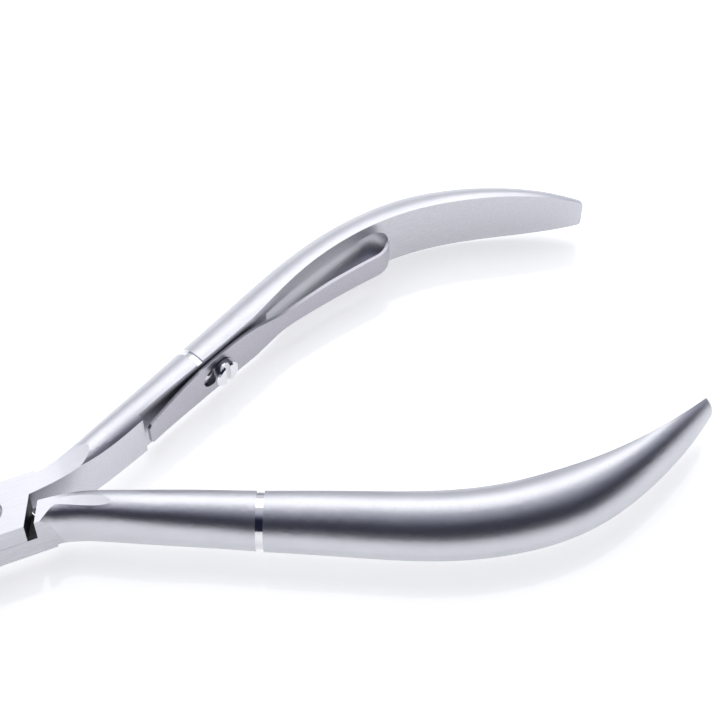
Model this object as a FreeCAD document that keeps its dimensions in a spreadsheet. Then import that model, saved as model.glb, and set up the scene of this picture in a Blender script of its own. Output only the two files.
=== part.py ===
import FreeCAD, Part
import math
import os

import Sketcher

from FreeCAD import Placement, Rotation, Vector

# Cuticle nipper, drawn as it lies open on a table.
# The pivot axis is Z, +X runs from the pivot to the handle ends, and Z = 0 is the joint's underside.
# The two halves are one forging used twice, the second turned over about the X axis.

DIMENSIONS = [
    # alias, value (mm or degrees), what it is
    ("joint_thickness", 7.4, "height of the lap joint"),
    ("joint_width", 7.7, "width of the lap joint"),
    ("lap_clearance", 0.04, "gap between the two sliding laps"),
    ("lap_reach", 5.0, "pivot to the end wall of a lap"),
    ("shoulder_gap", 1.25, "end wall of a lap to the other half's shoulder"),
    ("inner_edge", 0.62, "inner edge of the joint from the centre line"),
    ("closing_angle", 10.0, "turn that brings the cutting edges together"),
    ("handle_angle", 24.6, "straight part of a handle from the X axis"),
    ("spine_start", 5.5, "where the handle's spine leaves the X axis"),
    ("straight_length", 51.0, "spine from its start to the bend"),
    ("bend_radius", 44.0, "radius of the bend in the spine"),
    ("tail_length", 7.0, "spine from the bend to the blunt end"),
    ("root_half_width", 3.2, "handle across, inside the joint"),
    ("root_half_height", 4.6, "handle up and down, inside the joint"),
    ("neck_half_width", 2.7, "handle across, at the neck"),
    ("neck_half_height", 4.2, "handle up and down, at the neck"),
    ("grip_half_width", 3.9, "handle across, at the ring groove"),
    ("grip_half_height", 4.35, "handle up and down, at the ring groove"),
    ("flare_half_width", 4.7, "handle across, along the bend"),
    ("flare_half_height", 4.9, "handle up and down, along the bend"),
    ("end_half_width", 1.9, "handle across, at the blunt end"),
    ("end_half_height", 2.3, "handle up and down, at the blunt end"),
    ("end_round", 0.8, "round on the blunt end"),
    ("neck_flat", 1.78, "spine to the ground inner face, at the neck"),
    ("spring_flat", 0.3, "spine to the ground inner face of the spring half"),
    ("plain_flat", 3.0, "spine to the ground inner face of the plain half"),
    ("end_flat", 0.6, "spine to the ground inner face, towards the end"),
    ("flank_end", 7.7, "pivot to the end of the joint's side flats"),
    ("face_end", 8.0, "pivot to where the joint's faces start to rise"),
    ("face_run_out", 50.0, "radius on which the joint's faces rise into the handle"),
    ("ring_position", 30.0, "spine start to the middle of the ring groove"),
    ("ring_width", 1.0, "width of the ring groove"),
    ("ring_depth", 0.3, "depth of the ring groove"),
    ("jaw_length", 22.0, "pivot to the cutting edge, at mid height"),
    ("jaw_root_width", 3.4, "jaw across, where it leaves the joint"),
    ("jaw_slant", 32.0, "lean of the cutting edge from upright"),
    ("jaw_relief", 0.7, "hollow behind each cutting edge"),
    ("edge_land", 0.02, "half of the gap between the closed edges"),
    ("pivot_radius", 1.25, "shank of the pivot screw"),
    ("pivot_head_radius", 1.9, "head of the pivot screw"),
    ("pivot_head_height", 1.2, "head of the pivot screw, sunk flush"),
    ("running_clearance", 0.03, "radial gap round a turning shank"),
    ("head_clearance", 0.08, "gap round and under a sunk head"),
    ("slot_width", 0.8, "driver slot of either screw"),
    ("slot_depth", 0.6, "driver slot of either screw"),
    ("spring_seat", 33.2, "spine start to the spring screw"),
    ("seat_depth", 1.05, "spine to the milled floor under the spring"),
    ("seat_front", 14.7, "spring screw to the front wall of the milled floor"),
    ("seat_rear", 15.0, "spring screw to the rear of the milled floor"),
    ("leaf_thickness", 0.45, "sheet of the leaf spring"),
    ("leaf_bow_radius", 115.0, "bow of the leaf spring"),
    ("leaf_front", 14.3, "spring screw to the front end of the leaf"),
    ("leaf_rear", 28.5, "spring screw to the start of the curl"),
    ("leaf_curl_radius", 3.2, "radius of the curl"),
    ("leaf_curl_angle", 55.0, "turn of the curl"),
    ("leaf_half_width", 3.2, "leaf at the screw"),
    ("leaf_front_half_width", 1.95, "leaf at its front end"),
    ("leaf_waist_half_width", 1.75, "leaf where its tail starts"),
    ("leaf_rear_half_width", 2.1, "leaf at the end of its tail"),
    ("leaf_lift", 0.12, "gap under the leaf and over it, for its rocking"),
    ("keyhole_radius", 1.65, "round end of the keyhole slot"),
    ("keyhole_reach", 1.75, "screw to the centre of the slot's round end"),
    ("spring_screw_radius", 1.0, "shank of the spring screw"),
    ("spring_screw_length", 3.0, "shank below the leaf"),
    ("spring_head_radius", 2.0, "head of the spring screw"),
    ("spring_head_height", 1.3, "head of the spring screw"),
    ("pocket_radius", 3.1, "ball cutter that makes the tail pocket"),
    ("pocket_end", 66.3, "spine start to the rear end of the tail pocket"),
    ("pocket_length", 20.0, "travel of the cutter that makes the tail pocket"),
    ("pocket_depth", 2.3, "depth of the tail pocket at its rear"),
    ("pocket_start_depth", 0.9, "depth of the tail pocket at its front"),
]

doc = FreeCAD.newDocument("cuticle_nipper")
dims = doc.addObject("Spreadsheet::Sheet", "dims")
for line, (alias, value, note) in enumerate(DIMENSIONS, start=1):
    dims.set(f"A{line}", alias)
    dims.set(f"B{line}", str(value))
    dims.set(f"C{line}", note)
    dims.setAlias(f"B{line}", alias)
doc.recompute()


def size(alias):
    return float(dims.get(alias))


HALF = size("joint_thickness") / 2
MID_PLANE = Placement(Vector(0, 0, HALF), Rotation())
TURNED_OVER = Placement(Vector(0, 0, HALF), Rotation(Vector(1, 0, 0), 180))
TALL = 20.0  # more than any height of the nipper, for cutters
WIDE = 40.0  # more than any width of a handle, for cutters
SECTION_POINTS = 24  # points on the outline of one section of the handle
PLATE_REACH = 7.4  # pivot to where the lap plate ends inside the handle
JAW_ROOT_LENGTH = 9.5  # pivot to where the block has run out into the jaw
JAW_OVERLAP = 0.6  # how far the jaw runs back into the block
NECK_END = 9.0  # spine start to where the neck has become round
FLANK_LEAN = 0.3  # run of the side flat's end per height
CLIMB_REACH = 14.0  # length over which a joint face rises into the handle
SCREW_CHAMFER = 0.25


# ---- the spine of a handle: a straight, an arc and a straight, in the plane of the joint ----

TURN = 2 * size("handle_angle")
BEND_LENGTH = size("bend_radius") * math.radians(TURN)
SPINE_LENGTH = size("straight_length") + BEND_LENGTH + size("tail_length")


def heading(along):
    """The spine's angle from the X axis, in degrees, at a length along it."""
    bent = min(max(along - size("straight_length"), 0.0), BEND_LENGTH)
    return size("handle_angle") - math.degrees(bent / size("bend_radius"))


def tangent(along):
    angle = math.radians(heading(along))
    return Vector(math.cos(angle), math.sin(angle), 0)


def outward(along):
    """Across the handle, away from the other handle."""
    angle = math.radians(heading(along))
    return Vector(-math.sin(angle), math.cos(angle), 0)


def spine(along):
    """The point at a length along the spine."""
    straight = size("straight_length")
    point = Vector(size("spine_start"), 0, 0) + tangent(0) * min(along, straight)
    if along > straight:
        bend_centre = point - outward(0) * size("bend_radius")
        reached = min(along, straight + BEND_LENGTH)
        point = bend_centre + outward(reached) * size("bend_radius")
    if along > straight + BEND_LENGTH:
        point = point + tangent(along) * (along - straight - BEND_LENGTH)
    return point


def prism(points, low=-TALL, high=TALL):
    """A straight-sided solid on a plan outline."""
    face = Part.Face(Part.makePolygon(points + points[:1]))
    face.translate(Vector(0, 0, low - points[0].z))
    return face.extrude(Vector(0, 0, high - low))


# ---- the forging ----


def handle_section(along, half_width, half_height, squareness=2.0, aside=0.0, lift=0.0):
    """A rounded outline across the spine: squareness 2 is an ellipse, and 4 is nearly a rectangle."""
    across = outward(along)
    centre = spine(along) + across * aside + Vector(0, 0, lift)
    points = []
    for i in range(SECTION_POINTS):
        angle = 2 * math.pi * i / SECTION_POINTS
        c, s = math.cos(angle), math.sin(angle)
        u = math.copysign(abs(c) ** (2 / squareness), c) * half_width
        w = math.copysign(abs(s) ** (2 / squareness), s) * half_height
        points.append(centre + across * u + Vector(0, 0, w))
    outline = Part.BSplineCurve()
    outline.interpolate(Points=points, PeriodicFlag=True, Parameters=[float(i) for i in range(SECTION_POINTS + 1)])
    return Part.Wire(outline.toShape())


def between(start, end, share):
    return start + (end - start) * share


def handle_blank():
    """The handle as forged: a squared root inside the joint that becomes round and runs to the blunt end."""
    straight = size("straight_length")
    bend_end = straight + BEND_LENGTH
    ring = size("ring_position")
    root = (size("root_half_width"), size("root_half_height"))
    neck = (size("neck_half_width"), size("neck_half_height"))
    grip = (size("grip_half_width"), size("grip_half_height"))
    flare = (size("flare_half_width"), size("flare_half_height"))
    end = (size("end_half_width"), size("end_half_height"))
    # length along the spine, how far the section has gone from one size to the next,
    # its squareness, and how far its centre is off the spine, outwards and towards the lap
    stations = [
        (-1.0, root, neck, 0.0, 4.0, 1.7, 0.0),
        (1.2, root, neck, 0.0, 4.0, 1.5, 0.0),
        (2.3, root, neck, 0.7, 2.9, 1.0, 0.3),
        (3.3, root, neck, 1.0, 2.5, 0.35, 0.45),
        (5.0, root, neck, 1.0, 2.35, 0.05, 0.4),
        (NECK_END, neck, grip, 0.08, 2.3, 0.0, 0.1),
        (between(NECK_END, ring, 0.5), neck, grip, 0.55, 2.2, 0.0, 0.0),
        (ring, neck, grip, 1.0, 2.1, 0.0, 0.0),
        (between(ring, straight, 0.5), grip, flare, 0.5, 2.05, 0.0, 0.0),
        (straight, grip, flare, 0.88, 2.0, 0.0, 0.0),
        (straight + 0.3 * BEND_LENGTH, grip, flare, 1.0, 2.0, 0.0, 0.0),
        (straight + 0.55 * BEND_LENGTH, grip, flare, 0.9, 2.0, 0.0, 0.0),
        (straight + 0.8 * BEND_LENGTH, flare, end, 0.42, 2.0, 0.0, 0.0),
        (bend_end, flare, end, 0.68, 2.0, 0.0, 0.0),
        (SPINE_LENGTH, flare, end, 1.0, 2.0, 0.0, 0.0),
    ]
    sections = []
    for along, first, second, share, squareness, aside, lift in stations:
        half_width = between(first[0], second[0], share)
        half_height = between(first[1], second[1], share)
        if along > straight + 0.6 * BEND_LENGTH:
            # the height holds on longer than the width, then drops to the blunt end
            half_height = between(first[1], second[1], share**3)
        sections.append(handle_section(along, half_width, half_height, squareness, aside, lift))
    blank = Part.makeLoft(sections, True, False)
    end_edges = [e for e in blank.Edges if (e.CenterOfMass - spine(SPINE_LENGTH)).Length < 0.5]
    return blank.makeFillet(size("end_round"), end_edges)


def ground_face(flat):
    """What grinding takes from the inner side of a half: behind the lap's end wall, then along a smooth curve."""
    straight = size("straight_length")
    neck = size("neck_flat") + 0.45 * max(0.0, flat - size("neck_flat"))
    corner = wall_point(size("lap_reach"), size("inner_edge"), -1)
    offsets = [
        (3.8, 0.3 * neck),
        (7.1, 0.72 * neck),
        (9.7, 0.9 * neck),
        (13.0, neck),
        (size("ring_position"), between(neck, flat, 0.1)),
        (between(size("ring_position"), straight, 0.5), between(neck, flat, 0.5)),
        (straight, flat),
        (straight + 0.5 * BEND_LENGTH, flat),
        (straight + 0.85 * BEND_LENGTH, between(flat, size("end_flat"), 0.8)),
        (SPINE_LENGTH + 3.0, size("end_flat") - 0.9),
    ]
    points = [corner] + [spine(along) - outward(along) * depth for along, depth in offsets]
    face_line = Part.BSplineCurve()
    face_line.interpolate(points)
    wall_foot = wall_point(size("lap_reach"), -WIDE, -1)
    far = points[-1] + outward(0) * -WIDE
    sides = [Part.makeLine(points[-1], far), Part.makeLine(far, wall_foot), Part.makeLine(wall_foot, corner)]
    face = Part.Face(Part.Wire([face_line.toShape()] + sides))
    face.translate(Vector(0, 0, -TALL))
    return face.extrude(Vector(0, 0, 2 * TALL))


def ring_cutter():
    """A shallow groove round the handle."""
    along = size("ring_position")
    half_width, half_height = size("grip_half_width"), size("grip_half_height")
    depth = size("ring_depth")
    outer = Part.Face(handle_section(along, half_width + 2, half_height + 2, 2.1))
    inner = Part.Face(handle_section(along, half_width - depth, half_height - depth, 2.1))
    start, across = tangent(along) * (-size("ring_width") / 2), tangent(along) * size("ring_width")
    outer.translate(start)
    inner.translate(start)
    return outer.extrude(across).cut(inner.extrude(across))


def wall_point(reach, across, side):
    """A point on a wall square to a handle's direction; side is 1 for this half's handle, -1 for the other's."""
    angle = math.radians(size("handle_angle"))
    along = (reach - side * across * math.sin(angle)) / math.cos(angle)
    return Vector(along, across, 0)


def turned_half_way(points):
    """The same plan points, turned half a turn about the pivot."""
    return [Vector(-p.x, -p.y, p.z) for p in points]


def pivot_hole():
    """The bore for the pivot screw and the sink for its head, open at the lap's outer face."""
    bore = Part.makeCylinder(size("pivot_radius") + size("running_clearance"), 2 * TALL, Vector(0, 0, -TALL))
    floor = HALF - size("pivot_head_height") - size("head_clearance")
    sink = Part.makeCylinder(size("pivot_head_radius") + size("head_clearance"), TALL, Vector(0, 0, floor))
    return bore, sink


def lap_plate(head_sunk):
    """The half-height plate that crosses the pivot and ends inside the handle."""
    half_width = size("joint_width") / 2
    front = turned_half_way(
        [
            wall_point(size("lap_reach"), -half_width, -1),
            wall_point(size("lap_reach"), size("inner_edge"), -1),
            Vector(PLATE_REACH, size("inner_edge") + 0.4, 0),
            Vector(PLATE_REACH, half_width, 0),
        ]
    )
    rear = [Vector(PLATE_REACH, -half_width, 0), Vector(PLATE_REACH, half_width, 0)]
    plate = prism(front + rear, size("lap_clearance") / 2, HALF)
    bore, sink = pivot_hole()
    plate = plate.cut(bore)
    return plate.cut(sink) if head_sunk else plate


def jaw_root():
    """The full-height root of the jaw, in front of the shoulder wall."""
    half_width = size("joint_width") / 2
    reach = size("lap_reach") + size("shoulder_gap")
    outline = [
        wall_point(reach, half_width, 1),
        wall_point(reach, size("inner_edge"), 1),
        Vector(JAW_ROOT_LENGTH, size("inner_edge") + 0.5, 0),
        Vector(JAW_ROOT_LENGTH, half_width, 0),
    ]
    return prism(turned_half_way(outline), -HALF, HALF)


def jaw():
    """One jaw: drawn closed, its edge on the centre line, then opened by half the closing angle."""
    tip = Vector(-size("jaw_length"), -size("edge_land"), 0)
    root = -size("lap_reach") - size("shoulder_gap") - JAW_OVERLAP
    outer_root = Vector(root, -size("jaw_root_width"), 0)
    outer_mid = Vector(between(root, tip.x, 0.6), -0.78 * size("jaw_root_width"), 0)
    hollow_end = Vector(tip.x + 2.6, tip.y, 0)
    hollow_mid = Vector(between(root, tip.x, 0.45), -size("jaw_relief"), 0)
    inner_root = Vector(root, -size("edge_land"), 0)
    outer = Part.BSplineCurve()
    outer.interpolate([outer_root, outer_mid, tip + Vector(0, -0.02, 0)])
    outline = Part.Wire(
        [
            outer.toShape(),
            Part.makeLine(tip + Vector(0, -0.02, 0), tip),
            Part.makeLine(tip, hollow_end),
            Part.Arc(hollow_end, hollow_mid, inner_root).toShape(),
            Part.makeLine(inner_root, outer_root),
        ]
    )
    lean = Vector(-math.tan(math.radians(size("jaw_slant"))), 0, 1)
    face = Part.Face(outline)
    face.translate(lean * -HALF)
    blade = face.extrude(lean * (2 * HALF))
    blade.rotate(Vector(0, 0, 0), Vector(0, 0, 1), size("closing_angle") / 2)
    return blade


def seat_frame(lift):
    """On the milled floor under the spring screw: Z points out of the handle, X towards the handle's end."""
    along = size("spring_seat")
    point = spine(along) - outward(along) * (size("seat_depth") + lift)
    turn = Rotation(tangent(along), Vector(0, 0, 1), outward(along) * -1, "ZXY")
    return Placement(point, turn)


def spring_cutters():
    """What the seat, the screw hole and the tail pocket take from the spring half."""
    floor = seat_frame(0)
    mill = Part.makeBox(size("seat_front") + size("seat_rear"), 2 * TALL, WIDE, Vector(-size("seat_front"), -TALL, 0))
    bore = Part.makeCylinder(
        size("spring_screw_radius") + size("running_clearance"),
        size("spring_screw_length") + 0.5,
        Vector(0, 0, -size("spring_screw_length")),
    )
    for tool in (mill, bore):
        tool.Placement = floor.multiply(tool.Placement)
    radius = size("pocket_radius")
    rear = size("pocket_end") - math.sqrt(radius**2 - (radius - size("pocket_depth")) ** 2)
    front = rear - size("pocket_length")
    off_flat = size("spring_flat") + radius
    rear_centre = spine(rear) - outward(rear) * (off_flat - size("pocket_depth"))
    front_centre = spine(front) - outward(front) * (off_flat - size("pocket_start_depth"))
    ball = Part.makeSphere(radius, rear_centre)
    channel = Part.makeCylinder(radius, size("pocket_length"), rear_centre, front_centre - rear_centre)
    return [mill, ball.fuse(channel), bore]


def flank_cutter():
    """Mills the side flat of the joint; its end leans, so that the flat is longer on the lap's side."""
    half_width, end, run = size("joint_width") / 2, size("flank_end"), FLANK_LEAN * TALL
    outline = [
        Vector(-WIDE, 0, -TALL),
        Vector(end - run, 0, -TALL),
        Vector(end + run, 0, TALL),
        Vector(-WIDE, 0, TALL),
    ]
    face = Part.Face(Part.makePolygon(outline + outline[:1]))
    face.translate(Vector(0, half_width, 0))
    return face.extrude(Vector(0, WIDE, 0))


def face_cutter(side):
    """Grinds one face of the joint; it rises into the handle on a large radius. side is 1 or -1."""
    start, radius = size("face_end"), size("face_run_out")
    steps = (0, CLIMB_REACH / 2, CLIMB_REACH)
    climb = [Vector(start + step, 0, HALF + radius - math.sqrt(radius**2 - step**2)) for step in steps]
    corners = [climb[2], climb[2] + Vector(0, 0, TALL), Vector(-WIDE, 0, TALL), Vector(-WIDE, 0, HALF), climb[0]]
    lines = [Part.makeLine(corners[i], corners[i + 1]) for i in range(len(corners) - 1)]
    face = Part.Face(Part.Wire([Part.Arc(*climb).toShape()] + lines))
    face.translate(Vector(0, -WIDE, 0))
    cutter = face.extrude(Vector(0, 2 * WIDE, 0))
    if side < 0:
        cutter.rotate(Vector(0, 0, 0), Vector(1, 0, 0), 180)
    return cutter


def lap_room():
    """Plan of the room that the other half's lap swings in, behind the shoulder wall."""
    reach, side = size("lap_reach") + size("shoulder_gap"), size("joint_width")
    return [Vector(0, side, 0), wall_point(reach, side, 1), wall_point(reach, -side, 1), Vector(0, -side, 0)]


def forging(flat, head_sunk, cutters):
    """A whole half with its holes: handle, joint and jaw."""
    under_lap = size("lap_clearance") / 2
    rear_room = prism(lap_room(), -TALL, under_lap)
    front_room = prism(turned_half_way(lap_room()), -TALL, under_lap)
    lap_side = prism([Vector(x, y, 0) for x, y in ((-WIDE, -WIDE), (3, -WIDE), (3, WIDE), (-WIDE, WIDE))])
    ground = ground_face(flat)
    handle = handle_blank()
    joint_cutters = [flank_cutter(), face_cutter(1), face_cutter(-1), rear_room, lap_side]
    for tool in [ring_cutter(), ground] + cutters + joint_cutters:
        handle = handle.cut(tool)
    return handle.fuse(lap_plate(head_sunk).cut(ground)).fuse(jaw_root().fuse(jaw().cut(front_room)))


def add_half(name, flat, head_sunk, cutters, placement):
    part = doc.addObject("Part::Feature", name)
    part.Shape = forging(flat, head_sunk, cutters)
    part.Placement = placement
    return part


# ---- the leaf spring ----


def bow_point(reach, depth):
    """A point of the bowed sheet, in the seat's frame: depth is 0 on the side facing the handle."""
    radius = size("leaf_bow_radius")
    angle = reach / radius
    return Vector((radius - depth) * math.sin(angle), 0, radius - (radius - depth) * math.cos(angle))


def leaf_strip():
    """The bent sheet at full width, edge on: a bow, then a curl back towards the handle."""
    thick = size("leaf_thickness")
    front, rear = -size("leaf_front"), size("leaf_rear")
    bow_angle = rear / size("leaf_bow_radius")

    def lean(angle):
        return Vector(-math.sin(angle), 0, math.cos(angle))

    centre = bow_point(rear, 0) - lean(bow_angle) * size("leaf_curl_radius")

    def curl_point(share, depth):
        angle = bow_angle - math.radians(size("leaf_curl_angle")) * share
        return centre + lean(angle) * (size("leaf_curl_radius") + depth)

    outline = Part.Wire(
        [
            Part.Arc(bow_point(front, 0), bow_point(0, 0), bow_point(rear, 0)).toShape(),
            Part.Arc(curl_point(0, 0), curl_point(0.5, 0), curl_point(1, 0)).toShape(),
            Part.makeLine(curl_point(1, 0), curl_point(1, thick)),
            Part.Arc(curl_point(1, thick), curl_point(0.5, thick), curl_point(0, thick)).toShape(),
            Part.Arc(bow_point(rear, thick), bow_point(0, thick), bow_point(front, thick)).toShape(),
            Part.makeLine(bow_point(front, thick), bow_point(front, 0)),
        ]
    )
    face = Part.Face(outline)
    face.translate(Vector(0, -TALL, 0))
    return face.extrude(Vector(0, 2 * TALL, 0))


def leaf_outline():
    """The sheet's shape seen square on: widest at the screw, narrow along the tail, with a keyhole slot."""
    wide, blunt = size("leaf_half_width"), size("leaf_front_half_width")
    front, rear = -size("leaf_front"), size("leaf_rear")
    tail_end = rear + 2 * size("leaf_curl_radius")
    side = [
        Vector(front + 0.5, blunt, 0),
        Vector(0.7 * front, between(blunt, wide, 0.4), 0),
        Vector(0.35 * front, between(blunt, wide, 0.85), 0),
        Vector(0.04 * rear, wide, 0),
        Vector(0.25 * rear, between(size("leaf_waist_half_width"), wide, 0.75), 0),
        Vector(0.4 * rear, size("leaf_waist_half_width") + 0.05, 0),
        Vector(0.55 * rear, size("leaf_waist_half_width"), 0),
        Vector(0.8 * rear, between(size("leaf_waist_half_width"), size("leaf_rear_half_width"), 0.7), 0),
        Vector(rear, size("leaf_rear_half_width"), 0),
        Vector(tail_end, size("leaf_rear_half_width") - 0.1, 0),
    ]
    lines = []
    for hand in (1, -1):
        edge = Part.BSplineCurve()
        edge.interpolate([Vector(p.x, hand * p.y, 0) for p in side])
        lines.append(edge.toShape())
        lines.append(Part.makeLine(Vector(front, hand * (blunt - 0.5), 0), Vector(front + 0.5, hand * blunt, 0)))
    lines.append(Part.makeLine(Vector(front, 0.5 - blunt, 0), Vector(front, blunt - 0.5, 0)))
    tail_corner = side[-1]
    lines.append(Part.makeLine(tail_corner, Vector(tail_corner.x, -tail_corner.y, 0)))
    face = Part.Face(Part.Wire(Part.__sortEdges__(lines)))
    face.translate(Vector(0, 0, -TALL))
    blank = face.extrude(Vector(0, 0, 2 * TALL))
    deep = Vector(0, 0, -TALL)
    hole = Part.makeCylinder(size("keyhole_radius"), 2 * TALL, deep - Vector(size("keyhole_reach"), 0, 0))
    neck_radius = size("spring_screw_radius") + size("head_clearance")
    neck_end = Part.makeCylinder(neck_radius, 2 * TALL, deep)
    neck = Part.makeBox(size("keyhole_reach"), 2 * neck_radius, 2 * TALL)
    neck.translate(Vector(-size("keyhole_reach"), -neck_radius, -TALL))
    return blank.cut(hole).cut(neck_end).cut(neck)


def add_leaf_spring():
    leaf = doc.addObject("Part::Feature", "leaf_spring")
    leaf.Shape = leaf_strip().common(leaf_outline())
    leaf.Placement = MID_PLANE.multiply(seat_frame(size("leaf_lift")))
    return leaf


# ---- the screws, as PartDesign bodies ----


def datum(body, role):
    return next(f for f in body.Origin.OriginFeatures if f.Role == role)


def bound_outline(body, plane, name, corners):
    """A closed sketch whose corners are each held at two expressions; 0 puts a corner on the axis."""
    sketch = body.newObject("Sketcher::SketchObject", name)
    sketch.AttachmentSupport = [(datum(body, plane), "")]
    sketch.MapMode = "FlatFace"
    places = [Vector(size_of(x), size_of(y), 0) for x, y in corners]
    for i, place in enumerate(places):
        sketch.addGeometry(Part.LineSegment(place, places[(i + 1) % len(places)]), False)
    for i in range(len(places)):
        sketch.addConstraint(Sketcher.Constraint("Coincident", i, 2, (i + 1) % len(places), 1))
    for i, (x, y) in enumerate(corners):
        for kind, axis, expression in (("DistanceX", -2, x), ("DistanceY", -1, y)):
            if expression == "0":
                sketch.addConstraint(Sketcher.Constraint("PointOnObject", i, 1, axis))
                continue
            number = sketch.addConstraint(Sketcher.Constraint(kind, -1, 1, i, 1, size_of(expression)))
            sketch.setExpression(f"Constraints[{number}]", expression)
    return sketch


def size_of(expression):
    value = dims.evalExpression(expression)
    return float(getattr(value, "Value", value))


def add_screw(label, head_radius, head_height, shank_radius, shank_length, placement):
    """A slotted cheese-head screw, its head's underside on its own XY plane and its shank down -Z."""
    body = doc.addObject("PartDesign::Body", label)
    body.Label = label
    profile = bound_outline(
        body,
        "XZ_Plane",
        f"{label}_profile",
        [
            ("0", head_height),
            (f"{head_radius} - {SCREW_CHAMFER}", head_height),
            (head_radius, f"{head_height} - {SCREW_CHAMFER}"),
            (head_radius, "0"),
            (shank_radius, "0"),
            (shank_radius, f"-({shank_length})"),
            ("0", f"-({shank_length})"),
        ],
    )
    turned = body.newObject("PartDesign::Revolution", f"{label}_turned")
    turned.Profile = profile
    turned.ReferenceAxis = (profile, ["V_Axis"])
    turned.Angle = 360
    slot = bound_outline(
        body,
        "XZ_Plane",
        f"{label}_slot_profile",
        [
            ("dims.slot_width / 2", f"{head_height} + 1"),
            ("-dims.slot_width / 2", f"{head_height} + 1"),
            ("-dims.slot_width / 2", f"{head_height} - dims.slot_depth"),
            ("dims.slot_width / 2", f"{head_height} - dims.slot_depth"),
        ],
    )
    doc.recompute()
    before = turned.Shape.Volume
    cut = body.newObject("PartDesign::Pocket", f"{label}_slot")
    cut.Profile = slot
    cut.Length = 2 * WIDE
    cut.SideType = "Symmetric"
    body.Placement = placement
    doc.recompute()
    if not cut.Shape.Volume < before:
        raise RuntimeError(f"the slot of {label} cuts nothing")
    return body


# ---- the nipper ----

upper_half = add_half("upper_half", size("spring_flat"), True, spring_cutters(), MID_PLANE)
lower_half = add_half("lower_half", size("plain_flat"), False, [], TURNED_OVER)
leaf_spring = add_leaf_spring()
pivot_screw = add_screw(
    "pivot_screw",
    "dims.pivot_head_radius",
    "dims.pivot_head_height",
    "dims.pivot_radius",
    "dims.joint_thickness - dims.pivot_head_height - 0.1",
    Placement(Vector(0, 0, size("joint_thickness") - size("pivot_head_height")), Rotation(30, 0, 0)),
)
head_seat = 2 * size("leaf_lift") + size("leaf_thickness")
spring_screw = add_screw(
    "spring_screw",
    "dims.spring_head_radius",
    "dims.spring_head_height",
    "dims.spring_screw_radius",
    "dims.spring_screw_length + dims.leaf_thickness",
    MID_PLANE.multiply(seat_frame(head_seat)),
)
doc.recompute()

for part in doc.Objects:
    if "Invalid" in part.State or "Error" in part.State:
        raise RuntimeError(f"{part.Name} did not recompute: {part.State}")

os.makedirs("parts", exist_ok=True)
for node in (upper_half, lower_half, pivot_screw, leaf_spring, spring_screw):
    shape = node.Shape
    if shape.isNull() or not shape.isValid() or len(shape.Solids) != 1:
        raise RuntimeError(f"{node.Label} is not one valid solid")
    print(f"{node.Label}: {shape.Volume:.1f} mm3")
    shape.exportStep(f"parts/{node.Label}.step")
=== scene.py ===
import math

import bmesh
import bpy
from mathutils import Matrix, Vector

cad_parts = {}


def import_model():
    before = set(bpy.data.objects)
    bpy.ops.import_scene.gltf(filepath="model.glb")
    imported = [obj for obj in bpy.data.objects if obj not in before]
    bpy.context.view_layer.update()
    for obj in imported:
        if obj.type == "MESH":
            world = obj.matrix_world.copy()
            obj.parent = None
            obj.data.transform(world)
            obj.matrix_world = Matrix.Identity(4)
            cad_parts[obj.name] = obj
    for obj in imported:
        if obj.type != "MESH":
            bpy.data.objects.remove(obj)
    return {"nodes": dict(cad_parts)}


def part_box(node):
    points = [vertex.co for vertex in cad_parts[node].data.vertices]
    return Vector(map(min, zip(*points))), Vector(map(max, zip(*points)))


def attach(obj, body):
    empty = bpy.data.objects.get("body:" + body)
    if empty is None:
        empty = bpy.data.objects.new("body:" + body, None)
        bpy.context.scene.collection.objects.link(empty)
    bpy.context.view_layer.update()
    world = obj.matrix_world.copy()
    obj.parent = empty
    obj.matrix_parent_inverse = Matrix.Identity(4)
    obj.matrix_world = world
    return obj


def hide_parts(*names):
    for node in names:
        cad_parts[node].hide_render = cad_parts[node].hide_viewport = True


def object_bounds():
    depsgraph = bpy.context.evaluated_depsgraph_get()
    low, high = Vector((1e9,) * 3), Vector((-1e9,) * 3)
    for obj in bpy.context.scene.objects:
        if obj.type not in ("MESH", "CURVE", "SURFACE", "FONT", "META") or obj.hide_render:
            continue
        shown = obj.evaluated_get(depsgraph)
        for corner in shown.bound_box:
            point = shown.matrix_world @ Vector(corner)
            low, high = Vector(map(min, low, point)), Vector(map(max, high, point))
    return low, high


MM = 0.001

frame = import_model()
low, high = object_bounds()
CAD_BOX = [list(low), list(high)]
FLOOR_HEIGHT = CAD_BOX[0][2]

# where the straight part of a handle lies, and its ring groove on it
HANDLE_ANGLE = math.radians(24.6)
TANGENT = Vector((math.cos(HANDLE_ANGLE), math.sin(HANDLE_ANGLE), 0))
SPINE_START = 5.5 * MM
RING_ALONG = 30.0 * MM
RING = Vector((SPINE_START, 0, 0)) + TANGENT * RING_ALONG
RING_HALF_WIDTH = 0.55 * MM

# the joint, measured from the pivot axis
JOINT_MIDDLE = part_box("leaf_spring")[0].z / 2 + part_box("leaf_spring")[1].z / 2
JOINT_HALF_WIDTH = 3.8 * MM
LAP_WALL = 4.95 * MM
SHOULDER_WALL = 6.28 * MM
LAP_LENGTH = 9.5 * MM
LAP_GAP = 0.1 * MM
FLANK_END = 10 * MM
INNER_FLAT_START = 7 * MM
MERGE_DISTANCE = 0.0005 * MM


# ---- node helpers ----


def new_material(name):
    material = bpy.data.materials.new(name)
    material.use_nodes = True
    return material, material.node_tree, material.node_tree.nodes["Principled BSDF"]


def add_node(tree, kind, **settings):
    node = tree.nodes.new(kind)
    for key, value in settings.items():
        node.inputs[key].default_value = value
    return node


def object_pattern(tree, scale, turn=0.0):
    """Object coordinates, stretched by scale and turned about Z."""
    where = add_node(tree, "ShaderNodeTexCoord")
    mapping = add_node(tree, "ShaderNodeMapping")
    mapping.inputs["Rotation"].default_value = (0, 0, turn)
    mapping.inputs["Scale"].default_value = scale
    tree.links.new(where.outputs["Object"], mapping.inputs["Vector"])
    return mapping.outputs["Vector"]


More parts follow.
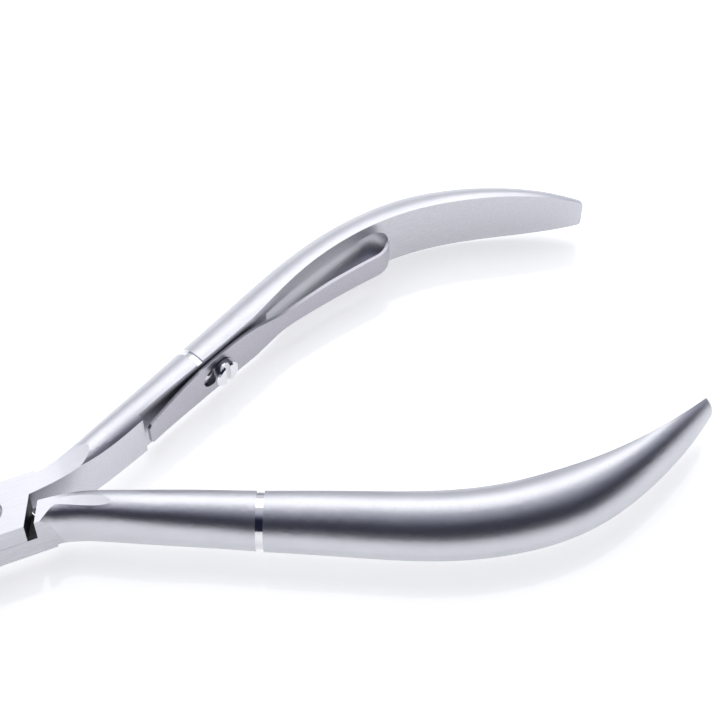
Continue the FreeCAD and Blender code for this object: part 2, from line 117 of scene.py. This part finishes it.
def noise(tree, vector, scale, detail=3.0, roughness=0.6):
    node = add_node(tree, "ShaderNodeTexNoise", Scale=scale, Detail=detail, Roughness=roughness)
    tree.links.new(vector, node.inputs["Vector"])
    return node.outputs["Fac"]


def ramp(tree, factor, stops):
    node = add_node(tree, "ShaderNodeValToRGB")
    ramp_points = node.color_ramp.elements
    while len(ramp_points) < len(stops):
        ramp_points.new(0.5)
    for point, (place, colour) in zip(ramp_points, stops):
        point.position = place
        point.color = (*colour, 1.0)
    tree.links.new(factor, node.inputs["Fac"])
    return node.outputs["Color"]


def span(tree, factor, lowest, highest):
    node = add_node(tree, "ShaderNodeMapRange")
    node.inputs["To Min"].default_value = lowest
    node.inputs["To Max"].default_value = highest
    tree.links.new(factor, node.inputs["Value"])
    return node.outputs["Result"]


def bump(tree, shader, height, strength, distance):
    node = add_node(tree, "ShaderNodeBump", Strength=strength, Distance=distance)
    tree.links.new(height, node.inputs["Height"])
    tree.links.new(node.outputs["Normal"], shader.inputs["Normal"])


# ---- finishes ----


def blasted_steel():
    """Bead-blasted stainless steel: a fine even grain with a faint cloudiness."""
    material, tree, shader = new_material("blasted_steel")
    where = object_pattern(tree, (1, 1, 1))
    grain = noise(tree, where, 9000.0, 2.0, 0.7)
    cloud = noise(tree, where, 120.0)
    shader.inputs["Metallic"].default_value = 1.0
    colour = ramp(tree, cloud, [(0.3, (0.64, 0.65, 0.69)), (0.7, (0.70, 0.705, 0.74))])
    tree.links.new(colour, shader.inputs["Base Color"])
    tree.links.new(span(tree, grain, 0.30, 0.42), shader.inputs["Roughness"])
    bump(tree, shader, grain, 0.35, 0.00005)
    return material


def ground_steel(name, colour_low, colour_high, turn=0.0):
    """Steel ground on a belt: long fine scratches."""
    material, tree, shader = new_material(name)
    where = object_pattern(tree, (40, 1200, 400), turn)
    scratches = noise(tree, where, 12.0, 4.0, 0.7)
    shader.inputs["Metallic"].default_value = 1.0
    colour = ramp(tree, scratches, [(0.35, colour_low), (0.65, colour_high)])
    tree.links.new(colour, shader.inputs["Base Color"])
    tree.links.new(span(tree, scratches, 0.28, 0.42), shader.inputs["Roughness"])
    bump(tree, shader, scratches, 0.12, 0.00002)
    return material


def polished_steel():
    """Polished steel with a faint haze."""
    material, tree, shader = new_material("polished_steel")
    where = object_pattern(tree, (1, 1, 1))
    haze = noise(tree, where, 900.0)
    shader.inputs["Metallic"].default_value = 1.0
    colour = ramp(tree, haze, [(0.3, (0.80, 0.80, 0.82)), (0.7, (0.86, 0.86, 0.88))])
    tree.links.new(colour, shader.inputs["Base Color"])
    tree.links.new(span(tree, haze, 0.08, 0.18), shader.inputs["Roughness"])
    return material


def joint_painted_shade_steel():
    """The sliding faces and end walls inside the joint: dull steel with a painted shade, near-black colour
    for the shadow deep in the narrow joint.
    """
    material, tree, shader = new_material("joint_painted_shade_steel")
    shade_mottle = noise(tree, object_pattern(tree, (1, 1, 1)), 700.0)
    shader.inputs["Metallic"].default_value = 1.0
    # painted shade: a near-black colour that stands in for the shadow inside the joint
    colour = ramp(tree, shade_mottle, [(0.3, (0.05, 0.05, 0.055)), (0.7, (0.12, 0.12, 0.13))])
    tree.links.new(colour, shader.inputs["Base Color"])
    tree.links.new(span(tree, shade_mottle, 0.45, 0.6), shader.inputs["Roughness"])
    return material


BLASTED = blasted_steel()
GROUND = ground_steel("ground_steel", (0.60, 0.60, 0.64), (0.70, 0.70, 0.74))
SPRING = ground_steel("spring_steel", (0.46, 0.45, 0.50), (0.56, 0.55, 0.60), HANDLE_ANGLE)
POLISHED = polished_steel()
# painted shade for the walls and faces inside the joint
JOINT_PAINTED_SHADE = joint_painted_shade_steel()
HALF_FINISHES = [BLASTED, GROUND, JOINT_PAINTED_SHADE, POLISHED]


# ---- pieces ----


def face_key(centre):
    """A place that can be looked up, rounded to a ten-thousandth of a millimetre."""
    return tuple(round(value / MM, 4) for value in centre)


def finished_copy(node, name, body, materials, zone=None):
    """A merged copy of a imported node, with the node's own corner normals kept for its shading."""
    source = frame["nodes"][node].data
    mesh = source.copy()
    mesh.name = name
    mesh.materials.clear()
    for material in materials:
        mesh.materials.append(material)
    piece = bpy.data.objects.new(name, mesh)
    bpy.context.scene.collection.objects.link(piece)
    true_normals = {}
    for polygon in source.polygons:
        for corner in polygon.loop_indices:
            place = source.vertices[source.loops[corner].vertex_index].co
            normal = source.corner_normals[corner].vector.copy()
            true_normals[face_key(polygon.center) + face_key(place)] = normal
    work = bmesh.new()
    work.from_mesh(mesh)
    bmesh.ops.remove_doubles(work, verts=work.verts, dist=MERGE_DISTANCE)
    work.normal_update()
    for face in work.faces:
        face.smooth = True
        face.material_index = zone(face) if zone else 0
    work.to_mesh(mesh)
    work.free()
    normals = []
    for polygon in mesh.polygons:
        for corner in polygon.loop_indices:
            place = mesh.vertices[mesh.loops[corner].vertex_index].co
            normal = true_normals.get(face_key(polygon.center) + face_key(place))
            if normal is None or normal.dot(polygon.normal) < 0.5:
                normal = polygon.normal
            normals.append(normal)
    mesh.normals_split_custom_set(normals)
    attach(piece, body)
    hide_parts(node)


def half_zone(face):
    """0 blasted, 1 ground, 2 the walls and faces inside the joint, painted dark as shade, 3 the ring
    groove.
    """
    normal, centre = face.normal, face.calc_center_median()
    end = 1 if centre.x > 0 else -1
    above = 1 if centre.z > JOINT_MIDDLE else -1
    reach = end * (centre.x * TANGENT.x - above * centre.y * TANGENT.y)
    in_gap = LAP_WALL < reach < SHOULDER_WALL and abs(centre.y) < JOINT_HALF_WIDTH
    if in_gap and abs(normal.z) < 0.9 and abs(normal.y) < 0.99:
        return 2
    on_lap = abs(centre.x) < LAP_LENGTH and abs(centre.z - JOINT_MIDDLE) < LAP_GAP
    if on_lap and abs(normal.z) > 0.99:
        return 2
    folded = Vector((centre.x, abs(centre.y), 0))
    if abs((folded - RING).dot(TANGENT)) < RING_HALF_WIDTH and abs(normal.z) + abs(normal.x) > 0.02:
        return 3
    flat_top = abs(normal.z) > 0.999
    flank = abs(normal.y) > 0.999 and centre.x < FLANK_END
    inner = abs(normal.z) < 0.02 and centre.x > INNER_FLAT_START and normal.y * centre.y < 0
    return 1 if flat_top or flank or inner else 0


finished_copy("upper_half", "upper_half_finish", "upper", HALF_FINISHES, half_zone)
finished_copy("lower_half", "lower_half_finish", "lower", HALF_FINISHES, half_zone)
finished_copy("leaf_spring", "leaf_spring_finish", "leaf_spring", [SPRING])
finished_copy("pivot_screw", "pivot_screw_finish", "pivot_screw", [POLISHED])
finished_copy("spring_screw", "spring_screw_finish", "spring_screw", [POLISHED])


# ---- stage ----


def floor():
    """A pale glossy floor that gives off a little light of its own."""
    work = bmesh.new()
    bmesh.ops.create_grid(work, x_segments=1, y_segments=1, size=0.6)
    mesh = bpy.data.meshes.new("floor")
    work.to_mesh(mesh)
    work.free()
    mesh.transform(Matrix.Translation((0.045, 0, FLOOR_HEIGHT)))
    piece = bpy.data.objects.new("floor", mesh)
    bpy.context.scene.collection.objects.link(piece)
    material, tree, shader = new_material("white_acrylic")
    shader.inputs["Base Color"].default_value = (0.92, 0.92, 0.92, 1)
    shader.inputs["Roughness"].default_value = 0.06
    shader.inputs["Emission Color"].default_value = (1, 1, 1, 1)
    shader.inputs["Emission Strength"].default_value = 0.62
    mesh.materials.append(material)


def area_light(name, place, aim, size, power):
    data = bpy.data.lights.new(name, "AREA")
    data.shape = "RECTANGLE"
    data.size, data.size_y = size
    data.energy = power
    lamp = bpy.data.objects.new(name, data)
    lamp.location = place
    lamp.rotation_euler = (Vector(aim) - Vector(place)).to_track_quat("-Z", "Y").to_euler()
    bpy.context.scene.collection.objects.link(lamp)


def world():
    """Studio walls, bright behind and above and dark in front, and a plain pale backdrop for the camera."""
    sky = bpy.data.worlds.new("studio")
    sky.use_nodes = True
    tree = sky.node_tree
    where = add_node(tree, "ShaderNodeTexCoord")
    behind = add_node(tree, "ShaderNodeVectorMath")
    behind.operation = "DOT_PRODUCT"
    behind.inputs[1].default_value = Vector((0.15, 0.75, 0.65)).normalized()
    tree.links.new(where.outputs["Generated"], behind.inputs[0])
    shade = ramp(
        tree,
        behind.outputs["Value"],
        [
            (0.0, (0.012, 0.014, 0.03)),
            (0.2, (0.06, 0.064, 0.10)),
            (0.5, (0.40, 0.41, 0.49)),
            (0.75, (0.62, 0.63, 0.69)),
            (1.0, (0.78, 0.78, 0.82)),
        ],
    )
    background = tree.nodes["Background"]
    tree.links.new(shade, background.inputs["Color"])
    backdrop = add_node(tree, "ShaderNodeBackground")
    backdrop.inputs["Color"].default_value = (0.93, 0.93, 0.94, 1.0)
    path = add_node(tree, "ShaderNodeLightPath")
    mix = add_node(tree, "ShaderNodeMixShader")
    tree.links.new(path.outputs["Is Camera Ray"], mix.inputs["Fac"])
    tree.links.new(background.outputs["Background"], mix.inputs[1])
    tree.links.new(backdrop.outputs["Background"], mix.inputs[2])
    tree.links.new(mix.outputs["Shader"], tree.nodes["World Output"].inputs["Surface"])
    bpy.context.scene.world = sky


def camera():
    turn, rise, away = math.radians(-22.55), math.radians(53.99), 254.27 * MM
    aim = Vector((54.62, 6.47, 3.7)) * MM
    back = Vector((math.sin(turn) * math.cos(rise), -math.cos(turn) * math.cos(rise), math.sin(rise)))
    data = bpy.data.cameras.new("camera")
    data.lens = 91.6
    data.sensor_width = 36.0
    data.clip_start = 0.01
    eye = bpy.data.objects.new("camera", data)
    eye.location = aim + back * away
    eye.rotation_euler = (-back).to_track_quat("-Z", "Y").to_euler()
    bpy.context.scene.collection.objects.link(eye)
    bpy.context.scene.camera = eye


floor()
world()
area_light("rear_softbox", (0.19, 0.33, 0.49), (0.055, 0.006, 0), (0.52, 0.46), 0.8)
camera()
bpy.context.scene.view_settings.view_transform = "Standard"
